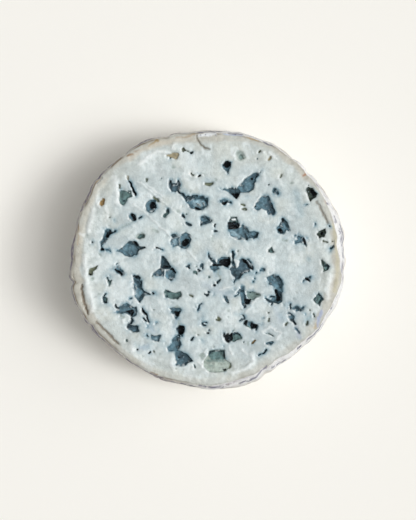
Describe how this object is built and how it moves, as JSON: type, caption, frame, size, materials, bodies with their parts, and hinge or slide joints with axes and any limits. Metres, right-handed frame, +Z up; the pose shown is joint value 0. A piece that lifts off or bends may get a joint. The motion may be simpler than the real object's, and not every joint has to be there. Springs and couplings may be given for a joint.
{
  "type": "cut round of blue cheese",
  "caption": "Round end of a natural-rind blue cheese drum, cut straight across, with open blue eyes over the cut face and a bloomy grey rind.",
  "frame": {"origin": "middle of the flat base, under the middle of the round", "axes": "+Z up from the base to the cut face, +Y towards the far side as pictured from above, +X to the right"},
  "size_m": [0.136, 0.129, 0.0487],
  "materials": {
    "cheese": "moist pale ivory paste with blue-grey mould in the eyes, and a dry white and grey rind"
  },
  "bodies": {
    "root": {"cheese": "cheese"}
  },
  "joints": []
}
